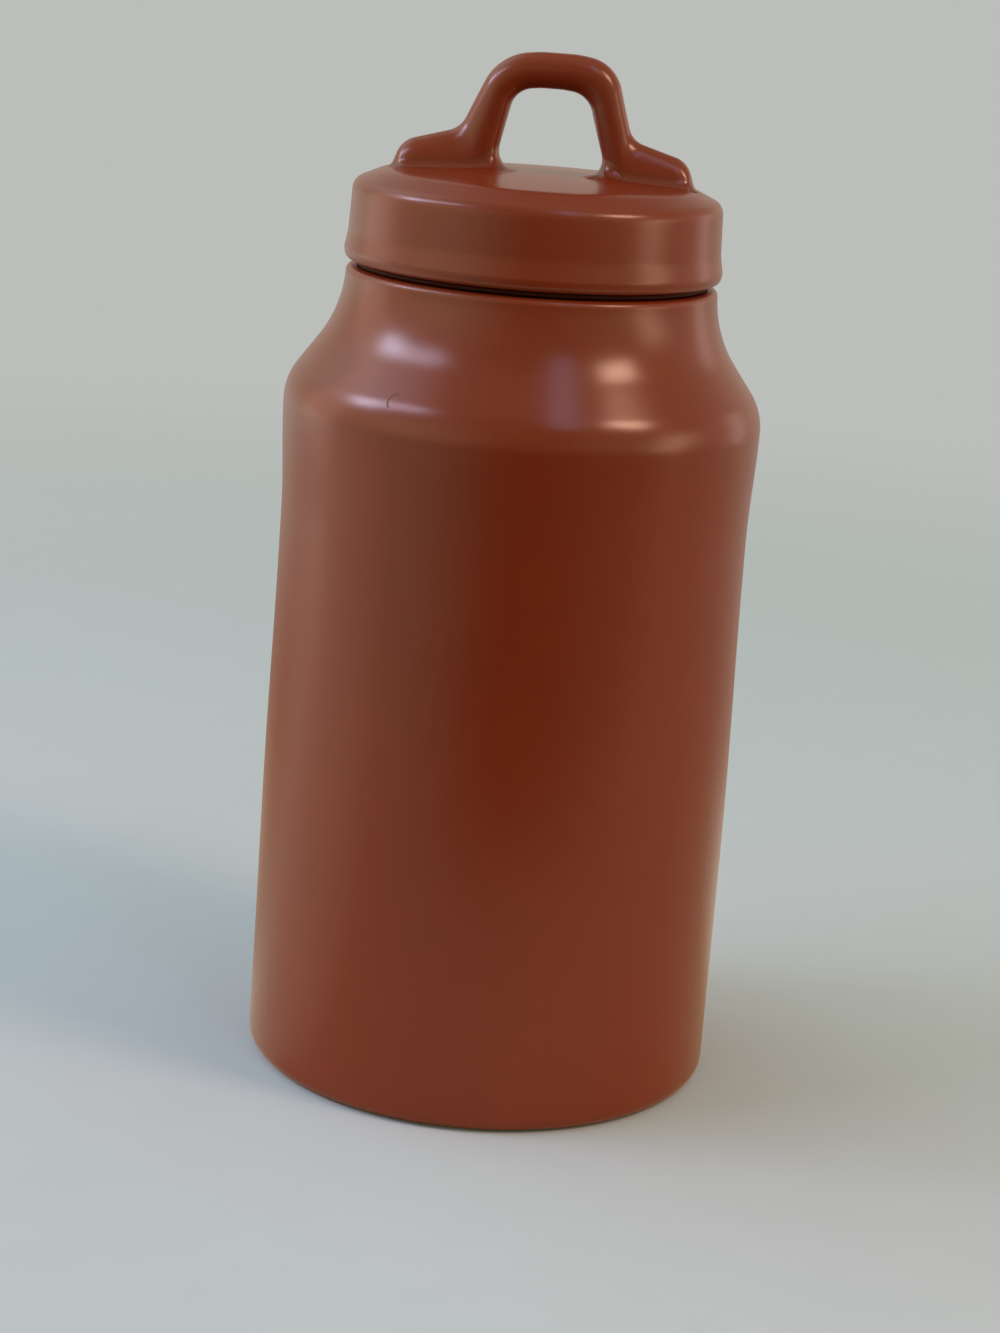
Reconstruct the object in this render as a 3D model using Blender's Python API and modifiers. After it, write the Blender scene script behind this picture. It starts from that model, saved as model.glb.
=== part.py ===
"""Stoneware storage canister: a waisted jar, a plugged lid with a loop handle, and a silicone sealing ring.

Metres, +Z up. The origin is the centre of the foot ring's bearing face, and the handle's arch lies in the
XZ plane. The jar stands still, the sealing ring lifts out with the lid, and the lid turns about Z.
"""

import math

import bmesh
import bpy
from mathutils import Vector

# Turned surfaces and fits
STEPS = 60                       # flat facets round every turned piece
ARC_STEP = math.radians(30)      # widest turn between two points of a rounded corner
MERGE = 0.00001
SEAT_GAP = 0.0003                # between two pieces that rest on each other

# Jar, outside
JAR_HEIGHT = 0.2043              # bearing face to the top of the rim
FOOT_RADIUS = 0.0600
BASE_CORNER = 0.0035             # rounding between side and underside
STRAIGHT_TO = 0.0620             # the side is upright up to here
WAIST_RADIUS = 0.0591
WAIST_DROP = 0.0270              # of the waist, below the shoulder
SHOULDER_RADIUS = 0.0600
SHOULDER_DROP = 0.0343           # of the shoulder's widest place, below the rim
SHOULDER_CURVE = 0.0150
NECK_RADIUS = 0.0462             # outside of the neck at the rim
NECK_CURVE = 0.0320              # hollow curve from the neck down to the shoulder
RIM_ROUND = 0.0016

# Jar, inside
WALL = 0.0055
FLOOR = 0.0065                   # thickness of the floor above the foot recess
INNER_CORNER = 0.0090            # rounding between floor and side
NECK_WALL = 0.0057
MOUTH_LAND = 0.0140              # straight bore under the rim, where the ring seals
INNER_NECK_CURVE = 0.0100
LIP_ROUND = 0.0010               # inner edge of the rim
FOOT_RING_WIDTH = 0.0060
FOOT_RECESS = 0.0020
RECESS_SLOPE = 0.0015            # how far the recess's edge leans in

# Sealing ring
SEAL_THICK = 0.0010              # the flange that lies between the lid and the rim
FLANGE_INSET = 0.0024            # of the flange's edge, from the outside of the neck
SLEEVE_WALL = 0.0013
RING_DEPTH = 0.0108              # reach of the sleeve below the flange
FIN_COUNT = 3
FIN_REACH = 0.0010               # from the sleeve to the fin's edge
FIN_THICK = 0.0014               # at the sleeve, from where it tapers to an edge

# Lid, with heights from its seat
LID_HEIGHT = 0.0224              # to the raised flat top
LID_OVERHANG = 0.0008            # of the lid's widest place, past the neck at the rim
LID_FLARE = 0.0008               # how far the lower edge flares out from the wall
LID_FLARE_HEIGHT = 0.0026        # of the widest place
LID_WALL_HEIGHT = 0.0068         # where the flare has died out
LID_TAPER = 0.0005               # how far the wall leans in from there to the upper edge
LID_LOWER_ROUND = 0.0018
LID_LOWER_STEP = 0.0005          # how far the lower edge stands in from the widest place
LID_UPPER_ROUND = 0.0028
BORDER_WIDTH = 0.0073            # the sloping border round the raised flat top
BORDER_DROP = 0.0037             # its fall
PLATEAU_ROUND = 0.0030           # where it meets the flat top
LID_WALL = 0.0050
CAVITY_ROUND = 0.0040
CAVITY_LOWER_ROUND = 0.0020
CAVITY_SLOPE = 0.0025            # rise of the hollow's base from the plug's bore to its side
PLUG_WALL = 0.0045
BEAD_HEIGHT = 0.0030             # lip that holds the ring on the plug
BEAD_ROUND = 0.0010

# Handle, with half widths from its middle and heights from the lid's flat top
HANDLE_HEIGHT = 0.0300
HANDLE_DEPTH = 0.0098            # front to back
CROWN_HALF_WIDTH = 0.0045        # level part of the arch
CROWN_ROUND = 0.0280
ARCH_HALF_WIDTH = 0.0140         # corner of the arch
ARCH_DROP = 0.0019               # its fall from the top
ARCH_ROUND = 0.0115
KINK_HALF_WIDTH = 0.0213         # where the leg turns into the foot
KINK_HEIGHT = 0.0106
KINK_ROUND = 0.0060
TOE_SETBACK = 0.0007             # of the foot's end, from the edge of the lid's flat top
TOE_LEAN = 0.0029                # from there in to where the foot turns down to the lid
TOE_HEIGHT = 0.0058
TOE_ROUND = 0.0055
ARCH_THICK = 0.0090              # at the top of the arch
OPENING_CROWN_HALF_WIDTH = 0.0020
OPENING_CROWN_ROUND = 0.0100
OPENING_HALF_WIDTH = 0.0085      # corner of the opening
OPENING_DROP = 0.0006            # its fall from the opening's top
OPENING_ROUND = 0.0058
OPENING_FOOT_HALF_WIDTH = 0.0142
ARCH_OFFSET = 0.0009             # the hand-bent arch leans this far to +X
OPENING_OFFSET = 0.0015          # and its opening sits this far to +X
SECTION_SIDES = 16
SECTION_POWER = 2.3              # 2 is an ellipse, more is squarer
SUNK = 0.0060                    # how far the strap runs on before it is cut flat

# Heights that follow from the sizes above
SHOULDER_HEIGHT = JAR_HEIGHT - SHOULDER_DROP
WAIST_HEIGHT = SHOULDER_HEIGHT - WAIST_DROP
SEAL_BOTTOM = JAR_HEIGHT + SEAT_GAP
SEAL_TOP = SEAL_BOTTOM + SEAL_THICK
SLEEVE_END = SEAL_BOTTOM - RING_DEPTH
LID_SEAT = SEAL_TOP + SEAT_GAP
LID_TOP = LID_SEAT + LID_HEIGHT
BEAD_TOP = SLEEVE_END - SEAT_GAP
PLUG_END = BEAD_TOP - BEAD_HEIGHT
HANDLE_BASE = LID_TOP + SEAT_GAP

# Radii that follow from the neck inwards
MOUTH_RADIUS = NECK_RADIUS - NECK_WALL
FIN_RADIUS = MOUTH_RADIUS - SEAT_GAP
RING_RADIUS = FIN_RADIUS - FIN_REACH
RING_INNER_RADIUS = RING_RADIUS - SLEEVE_WALL
PLUG_RADIUS = RING_INNER_RADIUS - SEAT_GAP
FLANGE_RADIUS = NECK_RADIUS - FLANGE_INSET

# Radii and half widths that follow from the neck up to the handle
LID_RADIUS = NECK_RADIUS + LID_OVERHANG
LID_WALL_RADIUS = LID_RADIUS - LID_FLARE
LID_TOP_RADIUS = LID_WALL_RADIUS - LID_TAPER
PLATEAU_RADIUS = LID_TOP_RADIUS - BORDER_WIDTH
FOOT_HALF_WIDTH = PLATEAU_RADIUS - TOE_SETBACK
TOE_HALF_WIDTH = FOOT_HALF_WIDTH - TOE_LEAN


def clear_scene():
    """Removes the objects that the scene starts with."""
    for item in list(bpy.data.objects):
        bpy.data.objects.remove(item, do_unlink=True)


def new_collection(name):
    """A collection linked to the scene."""
    group = bpy.data.collections.new(name)
    bpy.context.scene.collection.children.link(group)
    return group


def material(name, color, roughness, metallic=0.0):
    """A plain surface in a sub-part's colour."""
    surface = bpy.data.materials.new(name)
    surface.use_nodes = True
    shader = surface.node_tree.nodes["Principled BSDF"]
    shader.inputs["Base Color"].default_value = (*color, 1.0)
    shader.inputs["Roughness"].default_value = roughness
    shader.inputs["Metallic"].default_value = metallic
    surface.diffuse_color = (*color, 1.0)
    return surface


def corner_arc(before, corner, after, radius, steps=None):
    """Points of the arc that rounds a corner, from its start to its end."""
    back = (before - corner).normalized()
    ahead = (after - corner).normalized()
    opening = back.angle(ahead)
    turn = math.pi - opening
    steps = steps or max(2, math.ceil(turn / ARC_STEP))
    reach = radius / math.tan(opening / 2)
    middle = corner + (back + ahead).normalized() * (radius / math.sin(opening / 2))
    start = corner + back * reach - middle
    end = corner + ahead * reach - middle
    arc = []
    for index in range(steps + 1):
        angle = turn * index / steps
        arc.append(middle + (start * math.sin(turn - angle) + end * math.sin(angle)) / math.sin(turn))
    return arc


def rounded(points, radii):
    """The outline through the points, with an arc at each inner corner whose radius isn't zero."""
    corners = [Vector(point) for point in points]
    outline = [corners[0]]
    for before, corner, after, radius in zip(corners, corners[1:], corners[2:], radii):
        outline += corner_arc(before, corner, after, radius) if radius else [corner]
    return outline + [corners[-1]]


def shoulder_line(neck, neck_height, neck_curve, shoulder, shoulder_height, shoulder_curve, steps):
    """Neck to shoulder, top to bottom: a hollow arc and a full arc joined by their common tangent.

    Both arcs are drawn smaller where the step out to the shoulder leaves too little room for them.
    """
    out = shoulder - neck
    up = neck_height - shoulder_height
    room = (out * out + up * up) / (2 * out)
    fit = min(1.0, room / (neck_curve + shoulder_curve))
    neck_curve *= fit
    shoulder_curve *= fit
    across = neck_curve + shoulder_curve - out
    lean = math.atan2(up, across) - math.acos((neck_curve + shoulder_curve) / math.hypot(across, up))
    angles = [lean * index / steps for index in range(steps + 1)]
    hollow = [
        Vector((neck + neck_curve * (1 - math.cos(angle)), neck_height - neck_curve * math.sin(angle)))
        for angle in angles
    ]
    inset = shoulder - shoulder_curve
    full = [
        Vector((inset + shoulder_curve * math.cos(angle), shoulder_height + shoulder_curve * math.sin(angle)))
        for angle in reversed(angles)
    ]
    return hollow + full


def side_line(inset, steps):
    """Below the shoulder, top to bottom: two half waves that meet at the waist."""
    waves = (
        (SHOULDER_HEIGHT, SHOULDER_RADIUS, WAIST_HEIGHT, WAIST_RADIUS),
        (WAIST_HEIGHT, WAIST_RADIUS, STRAIGHT_TO, FOOT_RADIUS),
    )
    outline = []
    for top, top_radius, bottom, bottom_radius in waves:
        for index in range(1, steps + 1):
            share = index / steps
            swell = (1 - math.cos(math.pi * share)) / 2
            radius = top_radius + (bottom_radius - top_radius) * swell - inset
            outline.append(Vector((radius, top + (bottom - top) * share)))
    return outline


def turned(name, outline, surface, group, parent=None):
    """A closed body turned about Z. Its outline runs up its inner side and down its outer side."""
    base = parent.matrix_world.translation.z if parent else 0.0
    points = [(point[0], 0.0, point[1] - base) for point in outline]
    edges = [(index, index + 1) for index in range(len(points) - 1)]
    if points[0][0] > MERGE:
        edges.append((len(points) - 1, 0))
    mesh = bpy.data.meshes.new(name)
    mesh.from_pydata(points, edges, [])
    mesh.materials.append(surface)
    body = bpy.data.objects.new(name, mesh)
    group.objects.link(body)
    body.parent = parent
    screw = body.modifiers.new("turn", "SCREW")
    screw.axis = "Z"
    screw.angle = math.tau
    screw.screw_offset = 0.0
    screw.steps = STEPS
    screw.render_steps = STEPS
    screw.use_merge_vertices = True
    screw.merge_threshold = MERGE
    screw.use_smooth_shade = True
    return body


def pivot(name, height, group, parent=None):
    """An empty on the jar's axis, at a world height, that carries a moving body."""
    below = parent.matrix_world.translation.z if parent else 0.0
    carrier = bpy.data.objects.new(name, None)
    carrier.empty_display_size = 0.02
    group.objects.link(carrier)
    carrier.parent = parent
    carrier.location = (0.0, 0.0, height - below)
    bpy.context.view_layer.update()
    return carrier


def make_canister_body(group):
    """The jar: recessed base with a foot ring, waisted side, shoulder, neck and a straight-bored mouth."""
    floor_top = FOOT_RECESS + FLOOR
    inner_foot = FOOT_RADIUS - WALL
    ring_inner = FOOT_RADIUS - BASE_CORNER - FOOT_RING_WIDTH
    inner_base = rounded(
        [(0.0, floor_top), (inner_foot, floor_top), (inner_foot, STRAIGHT_TO)],
        [INNER_CORNER],
    )
    inner_side = side_line(WALL, 3)[-2::-1]
    inner_neck = shoulder_line(
        MOUTH_RADIUS, JAR_HEIGHT - MOUTH_LAND, INNER_NECK_CURVE,
        SHOULDER_RADIUS - WALL, SHOULDER_HEIGHT, SHOULDER_CURVE - WALL, 2,
    )[::-1]
    outer_neck = shoulder_line(
        NECK_RADIUS, JAR_HEIGHT, NECK_CURVE,
        SHOULDER_RADIUS, SHOULDER_HEIGHT, SHOULDER_CURVE, 4,
    )
    rim = rounded(
        [inner_neck[-1], (MOUTH_RADIUS, JAR_HEIGHT), (NECK_RADIUS, JAR_HEIGHT), outer_neck[1]],
        [LIP_ROUND, RIM_ROUND],
    )
    outer_side = side_line(0.0, 5)
    base = rounded(
        [outer_side[-1], (FOOT_RADIUS, 0.0), (ring_inner, 0.0), (ring_inner - RECESS_SLOPE, FOOT_RECESS),
         (0.0, FOOT_RECESS)],
        [BASE_CORNER, 0, 0],
    )
    outline = inner_base + inner_side + inner_neck[:-1] + rim + outer_neck[2:] + outer_side + base[1:]
    glaze = material("canister_glaze", (0.262, 0.058, 0.028), 0.36)
    return turned("canister_body", outline, glaze, group)


def make_lid_gasket(group, parent):
    """The sealing ring: a flange, and a sleeve round the plug with fins that press into the mouth."""
    outline = [
        (RING_INNER_RADIUS, SLEEVE_END), (RING_INNER_RADIUS, SEAL_TOP), (FLANGE_RADIUS, SEAL_TOP),
        (FLANGE_RADIUS, SEAL_BOTTOM), (RING_RADIUS, SEAL_BOTTOM),
    ]
    pitch = RING_DEPTH / (FIN_COUNT + 0.5)
    for index in range(FIN_COUNT):
        middle = SEAL_BOTTOM - pitch * (index + 1)
        outline += [
            (RING_RADIUS, middle + FIN_THICK / 2),
            (FIN_RADIUS, middle),
            (RING_RADIUS, middle - FIN_THICK / 2),
        ]
    outline.append((RING_RADIUS, SLEEVE_END))
    silicone = material("gasket_silicone", (0.055, 0.030, 0.022), 0.55)
    return turned("lid_gasket", outline, silicone, group, parent)


def make_lid_cap(group, parent):
    """The lid: flat top, sloping border, flared wall, and a hollow plug with a lip that holds the ring."""
    roof = LID_TOP - LID_WALL
    bore = PLUG_RADIUS - PLUG_WALL
    cavity_radius = LID_TOP_RADIUS - LID_WALL
    cavity_base = LID_SEAT + LID_WALL
    cavity = rounded(
        [(0.0, roof), (PLATEAU_RADIUS - PLATEAU_ROUND, roof), (cavity_radius, roof - BORDER_DROP),
         (cavity_radius, cavity_base), (bore, cavity_base - CAVITY_SLOPE), (bore, PLUG_END)],
        [CAVITY_ROUND, CAVITY_LOWER_ROUND, CAVITY_LOWER_ROUND, CAVITY_LOWER_ROUND],
    )
    plug = rounded(
        [(bore, PLUG_END), (RING_RADIUS, PLUG_END), (RING_RADIUS, BEAD_TOP), (PLUG_RADIUS, BEAD_TOP),
         (PLUG_RADIUS, LID_SEAT)],
        [BEAD_ROUND, 0, 0],
    )
    skin = rounded(
        [(PLUG_RADIUS, LID_SEAT), (LID_RADIUS - LID_LOWER_STEP, LID_SEAT),
         (LID_RADIUS, LID_SEAT + LID_FLARE_HEIGHT), (LID_WALL_RADIUS, LID_SEAT + LID_WALL_HEIGHT),
         (LID_TOP_RADIUS, LID_TOP - BORDER_DROP), (PLATEAU_RADIUS, LID_TOP), (0.0, LID_TOP)],
        [LID_LOWER_ROUND, 0, 0, LID_UPPER_ROUND, PLATEAU_ROUND],
    )
    outline = (cavity[:-1] + plug[:-1] + skin)[::-1]
    glaze = material("lid_glaze", (0.270, 0.062, 0.030), 0.36)
    return turned("lid_cap", outline, glaze, group, parent)


def stepped(points, radii, arc_steps, run_steps):
    """An outline with a set count of points: each corner's arc and each straight run has its own steps."""
    corners = [Vector(point) for point in points]
    outline = [corners[0]]
    for index, steps in enumerate(run_steps):
        last = index == len(arc_steps)
        sharp = last or arc_steps[index] == 0
        arc = [corners[index + 1]] if sharp else corner_arc(
            corners[index], corners[index + 1], corners[index + 2], radii[index], arc_steps[index],
        )
        start = outline[-1]
        outline += [start.lerp(arc[0], step / steps) for step in range(1, steps + 1)]
        outline += arc[1:]
    return outline


def handle_edges():
    """Outer and inner edge of the handle's +X half, from the arch's top to the toe, in step."""
    opening_top = HANDLE_HEIGHT - ARCH_THICK
    leg_lean = (OPENING_FOOT_HALF_WIDTH - OPENING_HALF_WIDTH) / (opening_top - OPENING_DROP)
    sunk_toe = FOOT_HALF_WIDTH + TOE_LEAN * SUNK / TOE_HEIGHT
    sunk_leg = OPENING_FOOT_HALF_WIDTH + leg_lean * SUNK
    outer = stepped(
        [(0.0, HANDLE_HEIGHT), (CROWN_HALF_WIDTH, HANDLE_HEIGHT),
         (ARCH_HALF_WIDTH, HANDLE_HEIGHT - ARCH_DROP), (KINK_HALF_WIDTH, KINK_HEIGHT),
         (TOE_HALF_WIDTH, TOE_HEIGHT), (sunk_toe, -SUNK)],
        [CROWN_ROUND, ARCH_ROUND, KINK_ROUND, TOE_ROUND],
        [2, 5, 3, 4],
        [1, 1, 3, 2, 3],
    )
    inner = stepped(
        [(0.0, opening_top), (OPENING_CROWN_HALF_WIDTH, opening_top),
         (OPENING_HALF_WIDTH, opening_top - OPENING_DROP), (sunk_leg, -SUNK),
         (KINK_HALF_WIDTH - KINK_ROUND / 2, -SUNK), (TOE_HALF_WIDTH - TOE_ROUND, -SUNK),
         (TOE_HALF_WIDTH, -SUNK)],
        [OPENING_CROWN_ROUND, OPENING_ROUND, 0, 0, 0],
        [2, 5, 0, 0, 0],
        [1, 1, 3, 3, 2, 7],
    )
    return outer, inner


def handle_section(outer, inner):
    """One section of the strap: a squarish oval across the handle, between its outer and inner edge."""
    middle = (outer + inner) / 2
    reach = (outer - inner) / 2
    ring = []
    for index in range(SECTION_SIDES):
        angle = math.tau * index / SECTION_SIDES
        cosine, sine = math.cos(angle), math.sin(angle)
        along = math.copysign(abs(cosine) ** (2 / SECTION_POWER), cosine)
        across = math.copysign(abs(sine) ** (2 / SECTION_POWER), sine)
        ring.append((middle.x + reach.x * along, HANDLE_DEPTH / 2 * across, middle.y + reach.y * along))
    return ring


def flat_cutter(name, size, top, group):
    """A hidden block whose top face lies at a world height and trims what reaches below it."""
    mesh = bpy.data.meshes.new(name)
    block = bmesh.new()
    bmesh.ops.create_cube(block, size=size)
    block.to_mesh(mesh)
    block.free()
    cutter = bpy.data.objects.new(name, mesh)
    cutter.location = (0.0, 0.0, top - size / 2)
    cutter.hide_render = True
    cutter.display_type = "WIRE"
    group.objects.link(cutter)
    return cutter


def make_lid_handle(group, cutters, parent):
    """The loop handle: a strap lofted through its sections and cut flat where it meets the lid."""
    outer, inner = handle_edges()
    mirror = Vector((-1.0, 1.0))
    pairs = [(a * mirror, b * mirror) for a, b in zip(outer[:0:-1], inner[:0:-1])] + list(zip(outer, inner))
    base = HANDLE_BASE - parent.matrix_world.translation.z
    loft = bmesh.new()
    rings = []
    for outside, inside in pairs:
        outside = outside + Vector((ARCH_OFFSET * max(0.0, outside.y) / HANDLE_HEIGHT, 0.0))
        inside = inside + Vector((OPENING_OFFSET * min(1.0, (inside.y + SUNK) / SUNK), 0.0))
        rings.append([loft.verts.new((x, y, z + base)) for x, y, z in handle_section(outside, inside)])
    for near, far in zip(rings, rings[1:]):
        for index in range(SECTION_SIDES):
            follow = (index + 1) % SECTION_SIDES
            loft.faces.new((near[index], near[follow], far[follow], far[index]))
    loft.faces.new(rings[0][::-1])
    loft.faces.new(rings[-1])
    bmesh.ops.recalc_face_normals(loft, faces=loft.faces)
    mesh = bpy.data.meshes.new("lid_handle")
    loft.to_mesh(mesh)
    loft.free()
    mesh.shade_smooth()
    mesh.set_sharp_from_angle(angle=math.radians(50))
    mesh.materials.append(material("handle_glaze", (0.270, 0.062, 0.030), 0.36))
    handle = bpy.data.objects.new("lid_handle", mesh)
    group.objects.link(handle)
    handle.parent = parent
    trim = handle.modifiers.new("flat foot", "BOOLEAN")
    trim.operation = "DIFFERENCE"
    trim.solver = "EXACT"
    trim.object = flat_cutter("handle_foot_cutter", FOOT_HALF_WIDTH * 4, HANDLE_BASE, cutters)
    return handle


def build():
    """Makes the four pieces and the carriers that they move with."""
    clear_scene()
    canister = new_collection("ceramic_canister")
    cutters = new_collection("cutters")
    make_canister_body(canister)
    lift = pivot("lid_lift_carrier", SEAL_BOTTOM, canister)
    turn = pivot("lid_turn_carrier", LID_SEAT, canister, lift)
    make_lid_gasket(canister, lift)
    make_lid_cap(canister, turn)
    make_lid_handle(canister, cutters, turn)


build()
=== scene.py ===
"""Looks of the stoneware canister: fine skins and glazes for its jar, lid, loop handle and sealing ring.

Metres, +Z up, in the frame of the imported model. Each skin stands where its solid does, and takes its overall
sizes from it. The smaller sizes are named below.
"""

import math

import bpy
import numpy as np
from mathutils import Matrix, Vector


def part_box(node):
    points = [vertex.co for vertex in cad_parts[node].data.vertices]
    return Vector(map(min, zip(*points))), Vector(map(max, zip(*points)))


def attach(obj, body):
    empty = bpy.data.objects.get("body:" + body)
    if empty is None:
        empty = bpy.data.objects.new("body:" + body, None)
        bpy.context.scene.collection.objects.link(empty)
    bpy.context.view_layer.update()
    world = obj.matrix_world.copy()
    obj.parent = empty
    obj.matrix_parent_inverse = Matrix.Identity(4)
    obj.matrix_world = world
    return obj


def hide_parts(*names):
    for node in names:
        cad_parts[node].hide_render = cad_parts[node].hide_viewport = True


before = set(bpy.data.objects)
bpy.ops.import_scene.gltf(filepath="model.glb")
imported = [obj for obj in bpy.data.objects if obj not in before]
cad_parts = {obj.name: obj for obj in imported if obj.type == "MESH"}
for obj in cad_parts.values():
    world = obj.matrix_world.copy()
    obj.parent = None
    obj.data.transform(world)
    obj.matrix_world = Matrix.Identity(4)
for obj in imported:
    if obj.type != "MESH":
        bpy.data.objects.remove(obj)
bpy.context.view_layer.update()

# Jar, outside
BASE_CORNER = 0.0035             # rounding between side and underside
STRAIGHT_TO = 0.0620             # the side is upright up to here
WAIST_RADIUS = 0.0591
WAIST_DROP = 0.0270              # of the waist, below the shoulder
SHOULDER_DROP = 0.0343           # of the shoulder's widest place, below the rim
SHOULDER_CURVE = 0.0150
NECK_RADIUS = 0.0462
NECK_CURVE = 0.0320              # hollow curve from the neck down to the shoulder
RIM_ROUND = 0.0016
RIM_TAKES = 3                    # last points of the neck's curve, which the rim's rounding replaces

# Jar, inside and underneath
WALL = 0.0055
BOTTOM = 0.0065
INNER_CORNER = 0.0090
NECK_WALL = 0.0057
MOUTH_LAND = 0.0140              # straight bore under the rim
INNER_NECK_CURVE = 0.0100
LIP_ROUND = 0.0010
FOOT_RING_WIDTH = 0.0060
FOOT_RECESS = 0.0020
RECESS_SLOPE = 0.0015
FOOT_EDGE_ROUND = 0.0005

# Sealing ring
SEAL_THICK = 0.0010
SEAL_EDGE_ROUND = 0.0003
SLEEVE_WALL = 0.0013
FIN_COUNT = 3
FIN_REACH = 0.0010
FIN_THICK = 0.0014
FIN_TIP_ROUND = 0.00012
FIN_ROOT_ROUND = 0.0003

# Lid, with heights from its seat
SEAT_GAP = 0.0003
LID_HEIGHT = 0.0224
LID_FLARE = 0.0008
LID_FLARE_HEIGHT = 0.0026
LID_FLARE_ROUND = 0.0040
LID_WALL_HEIGHT = 0.0068
LID_WALL_ROUND = 0.0150
LID_TAPER = 0.0005
LID_LOWER_ROUND = 0.0018
LID_LOWER_STEP = 0.0005
LID_UPPER_ROUND = 0.0034
BORDER_WIDTH = 0.0073
BORDER_DROP = 0.0033
PLATEAU_ROUND = 0.0100
LID_CROWN = 0.0013               # how far the middle of the raised top stands over its edge
LID_CROWN_SHARE = 0.9            # share of the raised top's radius that the crown takes up
LID_WALL = 0.0050
CAVITY_ROUND = 0.0040
CAVITY_LOWER_ROUND = 0.0020
CAVITY_SLOPE = 0.0025
PLUG_WALL = 0.0045
PLUG_ROOT_ROUND = 0.0008
BEAD_HEIGHT = 0.0030
BEAD_ROUND = 0.0010

# Handle, with half widths from its middle and heights from the lid's flat top
CROWN_HALF_WIDTH = 0.0045
CROWN_ROUND = 0.0250
ARCH_HALF_WIDTH = 0.0144
ARCH_DROP = 0.0014
ARCH_ROUND = 0.0114
KINK_HALF_WIDTH = 0.0211
KINK_HEIGHT = 0.0107
KINK_ROUND = 0.0060
TOE_SETBACK = 0.0008
TOE_LEAN = 0.0024
TOE_HEIGHT = 0.0066
TOE_ROUND = 0.0062
ARCH_THICK = 0.0087
OPENING_CROWN_HALF_WIDTH = 0.0025
OPENING_CROWN_ROUND = 0.0100
OPENING_HALF_WIDTH = 0.0089
OPENING_DROP = 0.0007
OPENING_ROUND = 0.0060
OPENING_FOOT_HALF_WIDTH = 0.0144
SECTION_POWER = 2.3              # 2 is an ellipse, more is squarer
SECTION_CROWD = 0.35             # how much a section's points crowd together at its front and back
SUNK = 0.0060                    # how far the strap's sections reach down into the lid

# How far the handle's outer and inner edge stray to +X: factors of the height's square, of the height
# and of 1, where the handle's whole height is 1
HAND_BEND = (0.0020, -0.0001, 0.0007)
OPENING_BEND = (0.0015, -0.0027, 0.0027)

# Fillet of slip between the handle and the lid
SLIP_ROUND = 0.0029              # its radius at the handle's front and back
SLIP_INNER = 0.0032              # how much larger it is inside the opening
SLIP_TOE = 0.0016                # and how much smaller round the toes
SLIP_TURN = 1.25                 # the more, the sooner it changes from the front and back to these
SLIP_DEPTH = 0.0008              # this deep in the lid, the strap's skin has run on under the lid's surface
SLIP_SPREAD = 2.5                # by this many times the depth outwards
SLIP_SINK = 0.5                  # and by this share of it downwards
LEAST_SIDEWAYS = 0.35            # share of a normal that lies level, below which the fillet fades

# Fineness of the skins
ARC_STEPS = 9
SHOULDER_STEPS = 20
SIDE_STEPS = 40
CROWN_STEPS = 24
JAR_SIDES = 216
LID_SIDES = 216
RING_SIDES = 180
STRAP_SIDES = 88
STRAP_FINE = 11                  # sections for each coarse step along the handle
OUTER_RUN = 0.0016               # longest step along a line that shows
INNER_RUN = 0.0030
AXIS_GAP = 0.0004                # turned skins close in a fan from this radius
LEAST_LENGTH = 1e-7              # a step between points counts as at least this, so that it can divide,
LEAST_AREA = 1e-12               # and the product of two steps as at least this

# Coarse steps along the handle's outer and inner edge, from its middle: of each corner's arc and of each run
HAND_ARCS = (2, 5, 3, 4)
HAND_RUNS = (1, 1, 3, 2, 3)
OPENING_ARCS = (2, 5, 0, 0, 0)
OPENING_RUNS = (1, 1, 3, 3, 2, 7)

# Slow waves of the slip cast: how many round the jar, turn in radians a metre up, start, depth
CAST_WAVES = ((2, 11.0, 0.4, 0.00012), (3, -26.0, 1.9, 0.00007), (5, 44.0, 4.0, 0.00003))
WAVE_FADE = 0.0200               # the waves die out over this height below the rim

# Camera, as the photograph was taken
CAMERA_DISTANCE = 0.6972
CAMERA_HEIGHT = 0.2878
CAMERA_PITCH = math.radians(14.815)
CAMERA_YAW = math.radians(0.06)
CAMERA_ROLL = math.radians(4.28)
CAMERA_TURN = math.radians(3.0)  # round the jar, because the handle isn't quite square to the view
CAMERA_LENS = 75.6

jar_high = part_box("canister_body")[1]
cap_low, cap_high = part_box("lid_cap")
loop_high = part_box("lid_handle")[1]
seal_low, seal_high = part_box("lid_gasket")
rim_height = jar_high.z
foot_radius = jar_high.x
lid_top = cap_high.z
lid_seat = lid_top - LID_HEIGHT
shoulder_height = rim_height - SHOULDER_DROP
waist_height = shoulder_height - WAIST_DROP
mouth_radius = NECK_RADIUS - NECK_WALL
sleeve_radius = mouth_radius - SEAT_GAP - FIN_REACH
plug_radius = sleeve_radius - SLEEVE_WALL - SEAT_GAP
lid_wall_radius = cap_high.x - LID_FLARE
lid_top_radius = lid_wall_radius - LID_TAPER
plateau_radius = lid_top_radius - BORDER_WIDTH


def unit(vector):
    """The vector divided by its length."""
    return vector / np.linalg.norm(vector, axis=-1, keepdims=True)


def ease(value):
    """Smooth step from 0 to 1: three squares less two cubes of the clipped value."""
    share = np.clip(value, 0.0, 1.0)
    return share * share * (3.0 - 2.0 * share)


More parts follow.
